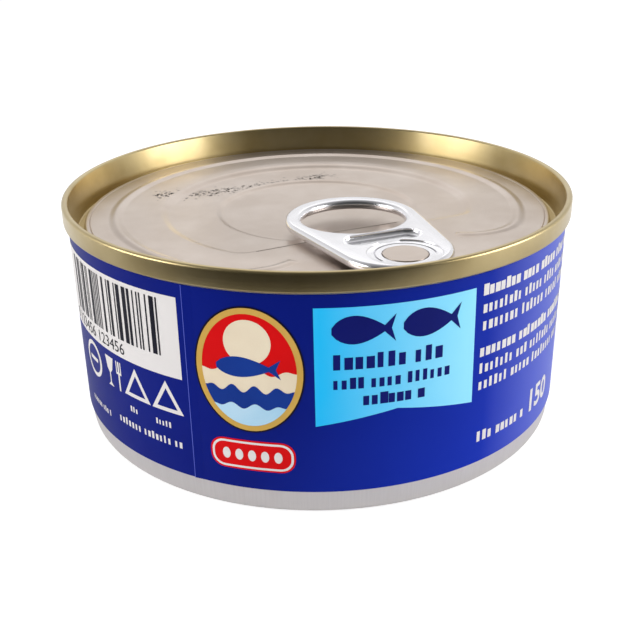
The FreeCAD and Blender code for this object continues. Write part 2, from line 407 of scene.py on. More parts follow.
class Value:
    """A socket that numbers and other values can be added to, taken from and multiplied with."""

    def __init__(self, finish_nodes, socket):
        self.nodes = finish_nodes
        self.socket = socket

    def maths(self, operation, *given):
        return self.nodes.node("ShaderNodeMath", {"operation": operation}, *given)

    def __add__(self, other):
        return self.maths("ADD", self, other)

    __radd__ = __add__

    def __sub__(self, other):
        return self.maths("SUBTRACT", self, other)

    def __rsub__(self, other):
        return self.maths("SUBTRACT", other, self)

    def __mul__(self, other):
        return self.maths("MULTIPLY", self, other)

    __rmul__ = __mul__

    def __abs__(self):
        return self.maths("ABSOLUTE", self)

    def __pow__(self, other):
        return self.maths("POWER", self, other)


class Finish:
    """One material and the nodes behind it."""

    def __init__(self, name, **constants):
        self.material = bpy.data.materials.new(name)
        self.material.use_nodes = True
        self.tree = self.material.node_tree
        self.tree.nodes.clear()
        self.output = self.tree.nodes.new("ShaderNodeOutputMaterial")
        self.shader = self.tree.nodes.new("ShaderNodeBsdfPrincipled")
        self.tree.links.new(self.shader.outputs[0], self.output.inputs["Surface"])
        self.set(**constants)

    def put(self, socket, given):
        """Links a value to a socket, or sets a plain number or colour on it."""
        if isinstance(given, Value):
            self.tree.links.new(given.socket, socket)
        else:
            socket.default_value = given

    def node(self, kind, settings=None, *inputs, output=0, **named):
        """Any node: its kind and settings, then its sockets in order or by name."""
        made = self.tree.nodes.new(kind)
        for key, value in (settings or {}).items():
            if key == "stops":
                while len(made.color_ramp.elements) < len(value):
                    made.color_ramp.elements.new(1.0)
                for element, (position, colour) in zip(made.color_ramp.elements, value):
                    element.position = position
                    element.color = colour
            else:
                setattr(made, key, value)
        for socket, given in zip(made.inputs, inputs):
            self.put(socket, given)
        for key, given in named.items():
            self.put(made.inputs[key.replace("_", " ")], given)
        return Value(self, made.outputs[output])

    def set(self, **sockets):
        for key, given in sockets.items():
            self.put(self.shader.inputs[key.replace("_", " ")], given)

    def place(self):
        return self.node("ShaderNodeTexCoord", output="Object")

    def path(self, ray):
        return Value(self, self.tree.nodes.new("ShaderNodeLightPath").outputs[ray])

    def axes(self, vector):
        split = self.node("ShaderNodeSeparateXYZ", None, vector)
        return [Value(self, split.socket.node.outputs[axis]) for axis in range(3)]

    def noise(self, vector, scale, detail=3.0, roughness=0.5):
        return self.node(
            "ShaderNodeTexNoise", None,
            Vector=vector, Scale=scale, Detail=detail, Roughness=roughness)

    def ramp(self, value, *stops):
        """Smooth number from one level to another; stops are (position, level)."""
        grey = [(position, (level, level, level, 1)) for position, level in stops]
        return self.node("ShaderNodeValToRGB", {"stops": grey}, value)

    def between(self, factor, first, second):
        """The first colour at 0, the second at 1."""
        mixed = self.node("ShaderNodeMix", {"data_type": "RGBA"})
        sockets = mixed.socket.node.inputs
        self.put(sockets[0], factor)
        self.put(sockets[6], first)
        self.put(sockets[7], second)
        return Value(self, mixed.socket.node.outputs[2])

    def stretch(self, vector, *scale):
        return self.node("ShaderNodeVectorMath", {"operation": "MULTIPLY"}, vector, scale)

    def bump(self, height, strength, distance):
        return self.node(
            "ShaderNodeBump", None, Height=height, Strength=strength, Distance=distance)


def srgb(red, green, blue):
    """A colour written as 0 to 255 levels, in linear light."""
    levels = [level / 255 for level in (red, green, blue)]
    linear = [
        ((level + 0.055) / 1.055) ** 2.4 if level > 0.04045 else level / 12.92
        for level in levels
    ]
    return (*linear, 1.0)


# ---------------------------------------------------------------- finishes

def round_grain(made, place, across=9000, along=60):
    """Fine marks that run round the can, from its rolling and drawing."""
    x, y, z = made.axes(place)
    radius = (x * x + y * y) ** 0.5
    wander = made.noise(place, along)
    lines = made.node("ShaderNodeCombineXYZ", None, radius * across, z * across, wander)
    return made.noise(lines, 1.0, detail=2.0)


def lacquered_lid():
    """Gold lacquer on the seam and its wall, paler beige lacquer on the panel."""
    made = Finish("gold_and_beige_lacquer", Metallic=1.0, Coat_Weight=0.25, Coat_Roughness=0.12)
    place = made.place()
    x, y, z = made.axes(place)
    radius = (x * x + y * y) ** 0.5
    ramp_reach = 0.05
    panel = made.ramp(radius * (1 / ramp_reach), (0.796, 1.0), (0.806, 0.0))
    patches = made.ramp(made.noise(place, 130, 4.0), (0.35, 0.0), (0.7, 1.0))
    grain = round_grain(made, place)
    gold = made.between(patches, srgb(186, 166, 118), srgb(200, 182, 136))
    beige = made.between(patches, srgb(196, 181, 169), srgb(208, 195, 185))
    made.set(
        Base_Color=made.between(panel, gold, beige),
        Roughness=0.27 + 0.08 * grain + 0.03 * panel,
        Normal=made.bump(grain, 0.12, 0.00003),
    )
    return made.material


def polished_tab():
    """Bright rolled aluminium with fine lines along the pull."""
    made = Finish("tab_aluminium", Metallic=1.0)
    place = made.place()
    turned_place = made.node("ShaderNodeMapping", {"vector_type": "TEXTURE"}, place)
    turned_place.socket.node.inputs["Rotation"].default_value = (0, 0, PULL_TURN)
    lines = made.noise(made.stretch(turned_place, 300, 9000, 2000), 1.0, 3.0)
    smears = made.noise(place, 420, 4.0)
    made.set(
        Base_Color=made.between(smears, srgb(238, 237, 241), srgb(248, 247, 250)),
        Roughness=0.14 + 0.08 * lines + 0.06 * smears,
        Normal=made.bump(lines, 0.04, 0.00002),
    )
    return made.material


def drawn_steel():
    """Plain drawn steel with upright drawing lines at the foot and a dull satin base."""
    made = Finish("drawn_steel", Metallic=0.55)
    place = made.place()
    x, y, z = made.axes(place)
    around = made.node("ShaderNodeMath", {"operation": "ARCTAN2"}, x, y)
    upright = made.node("ShaderNodeCombineXYZ", None, around * 190, z * 120, 0.0)
    streaks = made.noise(upright, 1.0, 3.0)
    grain = round_grain(made, place, 5000, 40)
    made.set(
        Base_Color=made.between(streaks, srgb(206, 201, 200), srgb(220, 216, 215)),
        Roughness=0.34 + 0.12 * streaks + 0.08 * grain,
        Normal=made.bump(streaks, 0.06, 0.00003),
    )
    return made.material


def coated_print(name, colour, second, fade=0.0):
    """Ink on coated paper: faint fibre relief, uneven ink of two colours, and a little varnish.

    With a fade, the second colour grows sideways and is reached at the fade's distance.
    """
    made = Finish(name, Metallic=0.0, Specular_IOR_Level=0.1, Coat_Roughness=0.08)
    place = made.place()
    fibre = made.noise(place, 5200, 4.0, 0.65)
    cloud = made.ramp(made.noise(place, 90, 3.0), (0.3, 0.0), (0.75, 1.0))
    blend = 0.7 * cloud + 0.3 * fibre
    if fade:
        x, y, z = made.axes(place)
        blend = made.ramp(abs(x) * (1 / fade) + 0.1 * cloud, (0.0, 0.0), (1.0, 1.0))
    made.set(
        Base_Color=made.between(blend, colour, second),
        Roughness=0.30 + 0.14 * fibre,
        Coat_Weight=0.02 + 0.04 * cloud,
        Normal=made.bump(fibre, 0.10, 0.00002),
    )
    return made.material


def blue_label_and_painted_sheen():
    """Deep blue ink over the whole paper, with painted light making it paler to the right and
    towards the foot, and a painted sheen turning it pale lavender at the right.
    """
    made = Finish("blue_label_and_painted_sheen", Metallic=0.0, Specular_IOR_Level=0.08, Coat_Roughness=0.08)
    place = made.place()
    x, y, z = made.axes(place)
    fibre = made.noise(place, 5200, 4.0, 0.65)
    cloud = made.noise(place, 70, 3.0)
    # Painted light: the blue turns paler to the right and towards the foot, where the lamps fall on
    # it
    painted_light_mask = made.ramp(x * 12 - z * 5 + 0.45, (0.3, 0.0), (1.0, 1.0))
    # Painted sheen: pale lavender blended in at the right edge
    pale = made.ramp(x * 20, (0.5, 0.0), (0.9, 1.0))
    deep = made.between(cloud, srgb(0, 18, 112), srgb(0, 25, 130))
    # A painted lit copy of the blue, shown where the painted light falls
    painted_lit_blue = made.between(cloud, srgb(8, 48, 190), srgb(16, 58, 202))
    made.set(
        Base_Color=made.between(pale, made.between(painted_light_mask, deep, painted_lit_blue), srgb(112, 124, 212)),
        Roughness=0.34 + 0.14 * fibre,
        Coat_Weight=0.03 + 0.05 * cloud,
        Normal=made.bump(fibre, 0.08, 0.00002),
    )
    return made.material


# ---------------------------------------------------------------- the can

def can_shell_mesh():
    """The drawn body, from the middle of its base out to the foot and up to the lid."""
    bead_floor = BASE_RISE - BASE_BEAD_DEPTH
    return turned("can_shell", [
        (0, BASE_RISE, 0),
        (BASE_BEAD_INNER - BASE_BEAD_DEPTH, BASE_RISE, BASE_BEAD_ROUNDING),
        (BASE_BEAD_INNER, bead_floor, BASE_BEAD_ROUNDING),
        (BASE_BEAD_OUTER, bead_floor, BASE_BEAD_ROUNDING),
        (BASE_BEAD_OUTER + BASE_BEAD_DEPTH, BASE_RISE, BASE_BEAD_ROUNDING),
        (STAND_INNER - BASE_SLOPE, BASE_RISE, STAND_ROUNDING),
        (STAND_INNER, 0, STAND_ROUNDING),
        (FOOT_RADIUS, 0, FOOT_CORNER),
        (BODY_RADIUS, LABEL_BOTTOM, SHOULDER_ROUNDING),
        (BODY_RADIUS, SEAM_FOOT, 0),
        (SKIRT_RADIUS, SEAM_FOOT, 0),
        (SKIRT_RADIUS, LID_UNDERSIDE, 0),
        (0, LID_UNDERSIDE, 0),
    ])


def flat_sided_loop(piece, radius, flat, z):
    """Adds a circle, its far side pressed straight at -X and the two corners eased round."""
    bpy.ops.mesh.primitive_circle_add(vertices=ROUND_STEPS, radius=radius, location=(0, 0, z))
    mesh = bmesh.from_edit_mesh(piece.data)
    mesh.verts.ensure_lookup_table()
    ring = mesh.verts[-ROUND_STEPS:]
    bpy.ops.mesh.select_all(action="DESELECT")
    for vertex in ring:
        vertex.select_set(vertex.co.x < -flat)
    mesh.select_flush_mode()
    bmesh.update_edit_mesh(piece.data)
    bpy.ops.transform.resize(value=(0, 1, 1), center_override=(-flat, 0, z))
    mesh = bmesh.from_edit_mesh(piece.data)
    mesh.verts.ensure_lookup_table()
    side = math.sqrt(radius ** 2 - flat ** 2)
    corners = [Vector((-flat, sign * side, z)) for sign in (1, -1)]
    for vertex in mesh.verts[-ROUND_STEPS:]:
        near = min((vertex.co - corner).length for corner in corners)
        vertex.select_set(near < CORNER_REACH)
    mesh.select_flush_mode()
    bmesh.update_edit_mesh(piece.data)
    bpy.ops.mesh.vertices_smooth(factor=0.5, repeat=CORNER_EASING)


def select_last_loops(piece, count):
    """Selects just the edges of the circles added last."""
    mesh = bmesh.from_edit_mesh(piece.data)
    mesh.verts.ensure_lookup_table()
    bpy.ops.mesh.select_all(action="DESELECT")
    bpy.ops.mesh.select_mode(type="EDGE")
    newest = list(mesh.verts[-count * ROUND_STEPS:])
    loops = [set(newest[start:start + ROUND_STEPS]) for start in range(0, len(newest), ROUND_STEPS)]
    for edge in mesh.edges:
        ends = set(edge.verts)
        if any(ends <= loop for loop in loops):
            edge.select_set(True)
    bmesh.update_edit_mesh(piece.data)


def pressed_centre():
    """The middle of the panel: a flat-sided well with a smaller flat-sided dish in it."""
    deselect()
    bpy.ops.mesh.primitive_circle_add(vertices=ROUND_STEPS, radius=PRESSED_EDGE, location=(0, 0, 0))
    piece = bpy.context.active_object
    bpy.ops.object.mode_set(mode="EDIT")
    bpy.ops.transform.translate(value=(0, 0, PANEL_TOP))
    for radius, flat, top, depth, slope in (
            (WELL_RADIUS, WELL_FLAT, PANEL_TOP, WELL_DEPTH, WELL_SLOPE),
            (DISH_RADIUS, DISH_FLAT, PANEL_TOP - WELL_DEPTH, DISH_DEPTH, DISH_SLOPE)):
        for share, fall in PRESSED_FALL:
            inward = slope * share - slope / 2 + PRESSED_INSET
            flat_sided_loop(piece, radius - inward, flat - inward, top - depth * fall)
            select_last_loops(piece, 2)
            bpy.ops.mesh.bridge_edge_loops()
    select_last_loops(piece, 1)
    bpy.ops.mesh.edge_face_add()
    close_edit()
    return piece


def lid_shell():
    """The seam, chuck wall, groove and panel in one spun rim, with the pressed centre joined in."""
    half_score = SCORE_WIDTH / 2
    rim = turned("lid_rim", [
        (PRESSED_EDGE, PANEL_TOP, 0),
        (SCORE_RADIUS - half_score, PANEL_TOP, 0),
        (SCORE_RADIUS, PANEL_TOP - SCORE_DEPTH, 0),
        (SCORE_RADIUS + half_score, PANEL_TOP, 0),
        (PANEL_RADIUS, PANEL_TOP, PANEL_ROUNDING),
        (GROOVE_INNER, GROOVE_Z, GROOVE_ROUNDING),
        (GROOVE_OUTER, GROOVE_Z, GROOVE_ROUNDING),
        (STEP_RADIUS, STEP_Z, STEP_ROUNDING),
        (SEAM_RADIUS - SEAM_WIDTH, CAN_TOP, SEAM_ROUNDING),
        (SEAM_RADIUS, CAN_TOP, SEAM_ROUNDING),
        (SEAM_RADIUS, SEAM_FOOT, SEAM_ROUNDING),
        (SKIRT_RADIUS, SEAM_FOOT, 0),
        (SKIRT_RADIUS, LID_UNDERSIDE, 0),
        (0, LID_UNDERSIDE, 0),
    ])
    lid = join([rim, pressed_centre()], "lid_shell")
    tidy_mesh(lid)
    place_mesh(lid, turn=PRESSED_TURN)
    return lid


def panel_bead():
    """Raised bead round the panel, its ends turned in by the ring pull; half, then its mirror."""
    section = []
    for step in range(BEAD_SECTION_STEPS + 1):
        share = 2 * step / BEAD_SECTION_STEPS - 1
        rise = BEAD_RISE * 0.5 * (1 + math.cos(math.pi * share))
        section.append(Vector((BEAD_RADIUS + BEAD_HALF_WIDTH * share, 0, BEAD_FOOT + rise)))
    sweep = math.pi - BEAD_HALF_GAP
    far = Vector((math.cos(sweep), -math.sin(sweep), 0))
    hook_centre = far * (BEAD_RADIUS - BEAD_END_RADIUS)
    bead = trace("panel_bead", section)
    bpy.ops.mesh.spin(steps=90, angle=sweep, center=(0, 0, 0), axis=(0, 0, 1))
    bpy.ops.mesh.spin(steps=18, angle=BEAD_END_SWEEP, center=hook_centre, axis=(0, 0, 1))
    bpy.ops.transform.resize(value=(1, 1, 0), center_override=(0, 0, BEAD_FOOT))
    bpy.ops.mesh.select_all(action="SELECT")
    bpy.ops.mesh.duplicate()
    bpy.ops.transform.resize(value=(1, -1, 1), center_override=(0, 0, 0))
    tidy_mesh(bead)
    place_mesh(bead, turn=RIVET_BEARING + math.pi)
    return bead


def rivet():
    """The boss pressed up from the panel, its shank through the web, and the flattened head."""
    root = PANEL_TOP - RIVET_ROOT
    head_bottom = WEB_TOP - RIVET_SINK
    return turned("rivet", [
        (0, root, 0),
        (BOSS_RADIUS + 0.8, root, 0),
        (BOSS_RADIUS + 0.5, PANEL_TOP, 0.3),
        (BOSS_RADIUS, WEB_BOTTOM, 0.2),
        (SHANK_RADIUS, WEB_BOTTOM, 0),
        (SHANK_RADIUS, head_bottom, 0),
        (RIVET_RADIUS, head_bottom, 0),
        (RIVET_RADIUS, RIVET_TOP, 0.12),
        (RIVET_RADIUS - 0.7, RIVET_TOP - 0.03, 0.2),
        (0, RIVET_TOP - 0.06, 0),
    ], centre=(RIVET.x, RIVET.y, 0), steps=64)


def dot(radius, x, y, z):
    bpy.ops.mesh.primitive_circle_add(
        vertices=DOT_SIDES, radius=radius, fill_type="NGON", location=(x, y, z + INK_LIFT))


def ink_dots():
    """Faint sprayed dots, smeared along one line across the back of the panel."""
    dice = random.Random(21)
    deselect()
    dot(0.2, -28.7, 7.6, PANEL_TOP)
    dots = bpy.context.active_object
    dots.name = "ink_dots"
    bpy.ops.object.transform_apply(location=True)
    bpy.ops.object.mode_set(mode="EDIT")
    for step in range(INK_DOTS):
        share = step / (INK_DOTS - 1)
        x = INK_START[0] + INK_RUN[0] * share
        y = INK_START[1] + INK_RUN[1] * share - INK_SAG * math.sin(math.pi * share)
        if math.sin(23 * share) + math.sin(61 * share + 1.3) < INK_GAP_LEVEL:
            continue
        spot = Vector((x + dice.gauss(0, INK_SPREAD[0]), y + dice.gauss(0, INK_SPREAD[1]), 0))
        reach = spot.length
        on_well_slope = WELL_RADIUS - 1.6 < reach < WELL_RADIUS + 0.8
        if not on_well_slope and reach > DISH_RADIUS + 0.8:
            depth = WELL_DEPTH if reach < WELL_RADIUS else 0.0
            dot(dice.uniform(0.12, 0.28), spot.x, spot.y, PANEL_TOP - depth)
    close_edit()
    return dots


def painted_shade_lines():
    """Two fine dark strips of painted shade along the straight sides of the well and the dish."""
    creases = empty_mesh("panel_painted_shade")
    for start, end, z in PAINTED_SHADE_LINES:
        start, end = Vector((*start, 0)), Vector((*end, 0))
        middle = (start + end) / 2 + Vector((0, 0, z + SHADE_LINE_LIFT))
        along = end - start
        turn = math.atan2(along.y, along.x)
        bpy.ops.mesh.primitive_plane_add(size=1, location=middle, rotation=(0, 0, turn))
        bpy.ops.transform.resize(
            value=(along.length, SHADE_LINE_WIDTH, 1), center_override=middle,
            orient_matrix=Matrix.Rotation(turn, 3, "Z"),
            orient_type="GLOBAL", orient_matrix_type="GLOBAL")
    close_edit()
    return creases


# ---------------------------------------------------------------- ring pull

def round_block(radius_x, radius_y, centre_x, low, high, vertices=96):
    """An upright oval block, to build from or to cut with."""
    deselect()
    bpy.ops.mesh.primitive_cylinder_add(vertices=vertices, radius=1, depth=1, location=(0, 0, 0))
    block = bpy.context.active_object
    bpy.ops.object.mode_set(mode="EDIT")
    bpy.ops.transform.resize(value=(radius_x, radius_y, high - low))
    bpy.ops.transform.translate(value=(centre_x, 0, (low + high) / 2))
    close_edit()
    return block


def ring_pull():
    """The pull laid along X from its rivet: hull, finger hole, seat, pocket, slit and dip."""
    below, above = PULL_BOTTOM - CUT, PULL_TOP + CUT
    ring = round_block(RING_RADIUS, RING_RADIUS, RING_CENTRE, PULL_BOTTOM, PULL_TOP)
    nose = round_block(NOSE_RADIUS, NOSE_RADIUS, NOSE_CENTRE, PULL_BOTTOM, PULL_TOP)
    tab = join([ring, nose], "ring_pull_tab")
    edit(tab)
    bpy.ops.mesh.select_all(action="SELECT")
    bpy.ops.mesh.convex_hull()
    bpy.ops.mesh.select_all(action="SELECT")
    bpy.ops.mesh.dissolve_limited(angle_limit=math.radians(0.5))
    close_edit()
    cut_away(tab, round_block(HOLE_HALF_LENGTH, HOLE_HALF_WIDTH, HOLE_CENTRE, below, above))
    round_edges(tab, RIM_ROUNDING, 10)
    seat = round_block(SEAT_HALF_LENGTH, SEAT_HALF_WIDTH, SEAT_CENTRE, PULL_TOP - SEAT_DEPTH, above)
    round_edges(seat, SEAT_ROUNDING, 3)
    cut_away(tab, seat)
    cut_away(tab, round_block(POCKET_RADIUS, POCKET_RADIUS, 0, below, WEB_BOTTOM))
    rivet_hole = RIVET_RADIUS + RIVET_CLEARANCE
    cut_away(tab, round_block(rivet_hole, rivet_hole, 0, below, above))
    cut_away(tab, rivet_slit())
    cut_away(tab, cross_dip())
    tidy_mesh(tab)
    place_mesh(tab, turn=PULL_TURN, shift=RIVET)
    return tab


def rivet_slit():
    """A thin round cutter, kept only on the side of the rivet that faces the ring."""
    low, high = PULL_TOP - SLIT_DEPTH, PULL_TOP + CUT
    slit = turned("slit", [
        (SLIT_INNER, low, 0), (SLIT_OUTER, low, 0),
        (SLIT_OUTER, high, 0), (SLIT_INNER, high, 0),
        (SLIT_INNER, low, 0),
    ], steps=72)
    edit(slit)
    bpy.ops.mesh.select_all(action="SELECT")
    bpy.ops.mesh.bisect(
        plane_co=(SLIT_START, 0, 0), plane_no=(1, 0, 0), use_fill=True, clear_inner=True)
    close_edit()
    return slit


def cross_dip():
    """A round-ended cutter for the trough across the pull, drawn out sideways from a cylinder."""
    low, high = PULL_TOP - DIP_DEPTH, PULL_TOP + CUT
    dip = round_block(DIP_HALF_WIDTH, DIP_HALF_WIDTH, DIP_CENTRE, low, high, vertices=48)
    edit(dip)
    for side in (1, -1):
        select(dip, "VERT", lambda v: v.co.y * side > 0.05)
        bpy.ops.transform.translate(value=(0, side * DIP_END, 0))
    close_edit()
    round_edges(dip, DIP_ROUNDING, 6)
    return dip


# ---------------------------------------------------------------- label

def paper_label():
    """The wrapped paper, with the step of its glued lap and the fade behind the step."""
    paper = turned("paper_label", [
        (BODY_RADIUS, LABEL_BOTTOM, 0),
        (LABEL_RADIUS, LABEL_BOTTOM, 0),
        (LABEL_RADIUS, LABEL_TOP, 0),
        (BODY_RADIUS, LABEL_TOP, 0),
        (BODY_RADIUS, LABEL_BOTTOM, 0),
    ])
    deselect()
    bpy.ops.mesh.primitive_cube_add(size=1, location=(0, 0, 0))
    lap = bpy.context.active_object
    bpy.ops.object.mode_set(mode="EDIT")
    middle = LAP_EDGE + LAP_FADE / 2
    bpy.ops.transform.resize(value=(LAP_FADE, PAPER + LAP_SINK, LABEL_TOP - LABEL_BOTTOM))
    bpy.ops.transform.translate(
        value=(middle, -(PAPER - LAP_SINK) / 2, (LABEL_TOP + LABEL_BOTTOM) / 2))
    select(lap, "VERT", lambda v: v.co.x > middle and v.co.y < -0.05)
    bpy.ops.transform.translate(value=(0, PAPER - LAP_TAIL, 0))
    close_edit()
    bend_round(lap)
    return join([paper, lap], "paper_label")


def bend_round(flat):
    """Cuts a flat drawing upright at even steps and bends it round the label."""
    edit(flat)
    xs = [vertex.co.x for vertex in flat.data.vertices]
    first, last = min(xs), max(xs)
    cut = math.floor(first / PRINT_CUT) * PRINT_CUT + PRINT_CUT
    while cut < last:
        bpy.ops.mesh.select_all(action="SELECT")
        bpy.ops.mesh.bisect(plane_co=(cut, 0, 0), plane_no=(1, 0, 0))
        cut += PRINT_CUT
    close_edit()
    apply_modifier(flat, "SIMPLE_DEFORM", deform_method="BEND", deform_axis="Z",
                   angle=(last - first) / LABEL_RADIUS)
    place_mesh(flat, shift=(0, -LABEL_RADIUS, 0))


def oval(x, z, half_width, half_height, steps=64, start=0.0, sweep=FULL_TURN):
    """Points round an oval, or along the part of it that the sweep covers."""
    ends = steps if sweep == FULL_TURN else steps + 1
    turns = [start + sweep * step / steps for step in range(ends)]
    return [
        (x + half_width * math.cos(turn), 0, z + half_height * math.sin(turn))
        for turn in turns
    ]


def pill(left, right, low, high, rounding, steps=6):
    """A box with round corners, from its upper right corner round."""
    points = []
    for x, z, start in (
            (right - rounding, high - rounding, 0),
            (left + rounding, high - rounding, 0.25),
            (left + rounding, low + rounding, 0.5),
            (right - rounding, low + rounding, 0.75)):
        points += oval(x, z, rounding, rounding, steps, start * FULL_TURN, FULL_TURN / 4)
    return points


def fish_outline(x, z, length, height, steps=12):
    """A plain fish facing left: pointed oval body and a forked tail."""
    upper = []
    for step in range(steps + 1):
        share = step / steps
        swell = math.sin(math.pi * (0.06 + 0.88 * share ** 0.8)) ** 0.9
        upper.append((-0.5 + 0.82 * share, 0.5 * swell))
    tail = [(0.5, 0.46), (0.43, 0.0), (0.5, -0.46)]
    shape = upper + tail + [(across, -0.9 * up) for across, up in reversed(upper)]
    return [(x + across * length, 0, z + up * height) for across, up in shape]


def swell_band(x, z, half_width, half_height, crest, height, waves, steps=48):
    """Water filling an oval up to a wavy line."""
    reach = half_width * math.sqrt(max(0.0, 1 - ((crest - z) / half_height) ** 2))
    points = []
    for step in range(steps + 1):
        share = 2 * step / steps - 1
        lift = height * math.sin(waves * math.pi * share) * (1 - share ** 4)
        points.append((x + reach * share, 0, crest + lift))
    corner = math.asin((crest - z) / half_height)
    sweep = -(math.pi + 2 * corner)
    return points + oval(x, z, half_width, half_height, 40, corner, sweep)[1:-1]


class Ink:
    """One ink of the label, drawn flat, x along the paper and z up it, then bent round the can."""

    def __init__(self, name, layer, seed=1):
        self.name = name
        self.depth = -layer * PRINT_LAYER
        self.dice = random.Random(seed)
        self.shapes = []
        self.boxes = None

    def box(self, left, right, low, high):
        if self.boxes is None:
            self.boxes = empty_mesh(self.name)
            self.shapes.append(self.boxes)
        if self.boxes.mode != "EDIT":
            edit(self.boxes)
        middle = ((left + right) / 2, 0, (low + high) / 2)
        bpy.ops.mesh.primitive_plane_add(size=1, location=middle, rotation=(math.pi / 2, 0, 0))
        bpy.ops.transform.resize(value=(right - left, 1, high - low), center_override=middle)

    def fill(self, points):
        """A filled outline."""
        self.close()
        shape = trace(self.name, points, closed=True)
        bpy.ops.mesh.edge_face_add()
        close_edit()
        self.shapes.append(shape)

    def band(self, outer, inner):
        """The strip between two outlines of as many points."""
        self.close()
        loops = []
        for points in (outer, inner):
            loops.append(trace(self.name, points, closed=True))
            close_edit()
        shape = join(loops, self.name)
        edit(shape)
        bpy.ops.mesh.select_mode(type="EDGE")
        bpy.ops.mesh.select_all(action="SELECT")
        bpy.ops.mesh.bridge_edge_loops()
        close_edit()
        self.shapes.append(shape)

    def words(self, left, right, low, high, weight=0.55):
        """A line of small plain blocks where the pack carries small print."""
        pitch = STROKE_PITCH * (high - low)
        short = low + SHORT_STROKE * (high - low)
        x = left
        while x < right - pitch:
            for _ in range(self.dice.randint(*STROKES_IN_WORD)):
                if x > right - pitch:
                    break
                top = high if self.dice.random() < TALL_CHANCE else short
                self.box(x, x + pitch * weight * self.dice.uniform(*STROKE_SPREAD), low, top)
                x += pitch
            x += pitch * WORD_GAP

    def number(self, text, x, z, size, bold=0.0):
        self.close()
        deselect()
        bpy.ops.object.text_add(location=(0, 0, 0))
        shape = bpy.context.active_object
        shape.data.body = text
        shape.data.size = size
        shape.data.resolution_u = 3
        shape.data.offset = bold
        bpy.ops.object.convert(target="MESH")
        shape = bpy.context.active_object
        upright = Matrix.Rotation(math.pi / 2, 4, "X")
        shape.data.transform(Matrix.Translation((x, 0, z)) @ upright)
        self.shapes.append(shape)

    def close(self):
        if self.boxes is not None and self.boxes.mode == "EDIT":
            close_edit()

    def wrap(self, material, twice=False):
        """Lays the ink round the paper, and once more on the back of the can."""
        self.close()
        sheet = join(self.shapes, self.name)
        place_mesh(sheet, shift=(0, self.depth, 0))
        edit(sheet)
        select(sheet, "FACE", lambda f: f.normal.y > 0)
        bpy.ops.mesh.flip_normals()
        close_edit()
        bend_round(sheet)
        if twice:
            pick(sheet)
            bpy.ops.object.duplicate()
            copy = bpy.context.active_object
            place_mesh(copy, turn=math.pi)
            sheet = join([sheet, copy], self.name)
        return finish(sheet, material)


# White print: left, right, low, high and stroke weight of each line, and of each row of the text
TEXT_LEFT = 25.2
TEXT_RIGHT = 58.0
TEXT_ROWS = (
    (32.6, 34.4, 0.72), (29.8, 31.5, 0.55), (27.0, 28.8, 0.55),
    (22.7, 24.5, 0.72), (19.9, 21.6, 0.55), (17.1, 18.8, 0.55),
)
SMALL_LINES = (
    (25.6, 38.2, 7.9, 9.7, 0.6),
    (-36.5, -21.3, 8.7, 10.0, 0.5),
    (-47.5, -39.0, 8.0, 9.1, 0.5),
    (-27.0, -23.0, 11.8, 12.8, 0.5),
    (-33.0, -30.0, 11.8, 12.8, 0.5),
)

# Handling marks: two triangles, a barred ring, a glass and a fork
TRIANGLE_CENTRES = (-24.4, -31.0)
RING_MARK = (-44.4, 16.8)
RING_BAR = (-46.0, -42.8, 16.45, 17.15)
GLASS = (
    (-39.4, 19.6), (-36.9, 19.6), (-37.4, 17.4), (-38.0, 16.8), (-38.0, 15.0),
    (-37.3, 14.4), (-39.0, 14.4), (-38.3, 15.0), (-38.3, 16.8), (-38.9, 17.4),
)
FORK = (
    (-35.6, -35.2, 14.4, 19.6),
    (-36.1, -34.7, 17.3, 17.7),
    (-36.1, -35.85, 17.7, 19.6),
    (-34.95, -34.7, 17.7, 19.6),
)

# Bars: panel behind them, their span, and the widths of bars and gaps
BAR_PANEL = (-56.0, -21.1, 20.8, 34.0)
BARS_LEFT = -50.2
BARS_LAST = -24.6
BARS_RIGHT = -24.4
BAR_LOW = 24.0
BAR_HIGH = 33.3
BAR_WIDTHS = (0.3, 0.3, 0.6, 0.9)

PALE_PANEL = ((-0.8, 34.2), (23.8, 34.2), (24.1, 15.5), (11.4, 17.6), (-0.7, 15.5))

# Fish on the pale panel, and the left, right, low, high and stroke weight of its lines
PANEL_FISH_CENTRES = (6.3, 16.6)
PANEL_FISH = (30.6, 9.2, 4.6)
PANEL_LINES = (
    (1.9, 21.0, 24.6, 27.0, 0.66),
    (1.9, 21.2, 21.5, 23.3, 0.6),
    (6.2, 16.8, 18.7, 20.6, 0.78),
)

# Medal: middle and half sizes, then its sun and fish, and the crest, height and waves of each swell
MEDAL = (-10.3, 24.1, 8.0, 9.8)
MEDAL_OUTLINE = 0.28
MEDAL_RIM = 0.9
SUN_Z = 28.6
SUN_RADIUS = 3.5
MEDAL_FISH = (24.6, 9.6, 3.4)
SAND_SWELL = (24.0, 0.55, 3)
SEA_SWELL = (21.2, 0.6, 4)
FOAM_SWELL = (18.4, 0.45, 3)

# Pill: left, right, low, high and rounding of its back and of both sides of its line, and its dots
PILL_BACK = (-16.9, -3.7, 7.4, 12.6, 2.2)
PILL_LINE = ((-16.6, -4.0, 7.7, 12.3, 1.95), (-16.25, -4.35, 8.05, 11.95, 1.65))
PILL_DOTS = 5
PILL_DOT_START = -14.3
PILL_DOT_PITCH = 2.0
PILL_DOT = (10.0, 0.62, 0.95)


def flat_points(outline):
    return [(x, 0, z) for x, z in outline]


